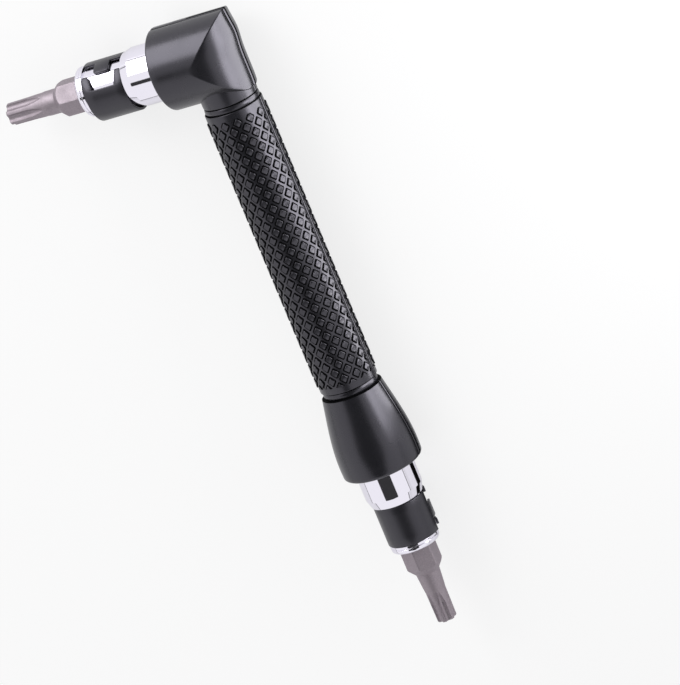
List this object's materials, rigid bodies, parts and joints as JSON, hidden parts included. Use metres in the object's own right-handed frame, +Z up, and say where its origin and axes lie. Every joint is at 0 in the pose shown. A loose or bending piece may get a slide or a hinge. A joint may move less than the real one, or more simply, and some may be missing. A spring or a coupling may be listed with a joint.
{
  "type": "offset screwdriver",
  "caption": "Offset screwdriver with an elbow head: a slim knurled plastic handle with a chrome holder and a star-tipped insert bit at the head, square to the handle, and another at the tail.",
  "frame": {"origin": "middle of the bounding box, at its lowest face: the tool lies flat on its side", "axes": "+X along the handle from the tail to the head, +Y the way the head bit points, +Z up"},
  "size_m": [0.1284, 0.0516, 0.0162],
  "materials": {
    "shell": "glossy black",
    "hoop": "glossy black",
    "holder": "polished chrome plate",
    "band": "satin black",
    "bit": "satin, warm grey",
    "rod": "plain drawn steel",
    "magnet": "nickel plated",
    "clip": "spring steel"
  },
  "bodies": {
    "handle": {"front_shell": "shell", "back_shell": "shell", "upper_hoop": "hoop", "lower_hoop": "hoop", "head_holder": "holder", "tail_holder": "holder", "core_rod": "rod", "head_pin": "rod", "tail_pin": "rod", "head_magnet": "magnet", "tail_magnet": "magnet", "head_clip": "clip", "tail_clip": "clip"},
    "head_bit": {"head_bit": "bit"},
    "tail_bit": {"tail_bit": "bit"},
    "head_band": {"head_band": "band"},
    "tail_band": {"tail_band": "band"}
  },
  "joints": [
    {"name": "head_bit_pull", "type": "slide", "parent": "handle", "child": "head_bit", "axis": [0, 1, 0], "range_m": [0, 0.012]},
    {"name": "tail_bit_pull", "type": "slide", "parent": "handle", "child": "tail_bit", "axis": [-1, 0, 0], "range_m": [0, 0.012]},
    {"name": "head_band_turn", "type": "hinge", "parent": "handle", "child": "head_band", "pos_m": [0.05613, 0, 0.0081], "axis": [0, 1, 0], "continuous": true},
    {"name": "tail_band_turn", "type": "hinge", "parent": "handle", "child": "tail_band", "pos_m": [-0.0421, -0.01775, 0.0081], "axis": [-1, 0, 0], "continuous": true}
  ]
}
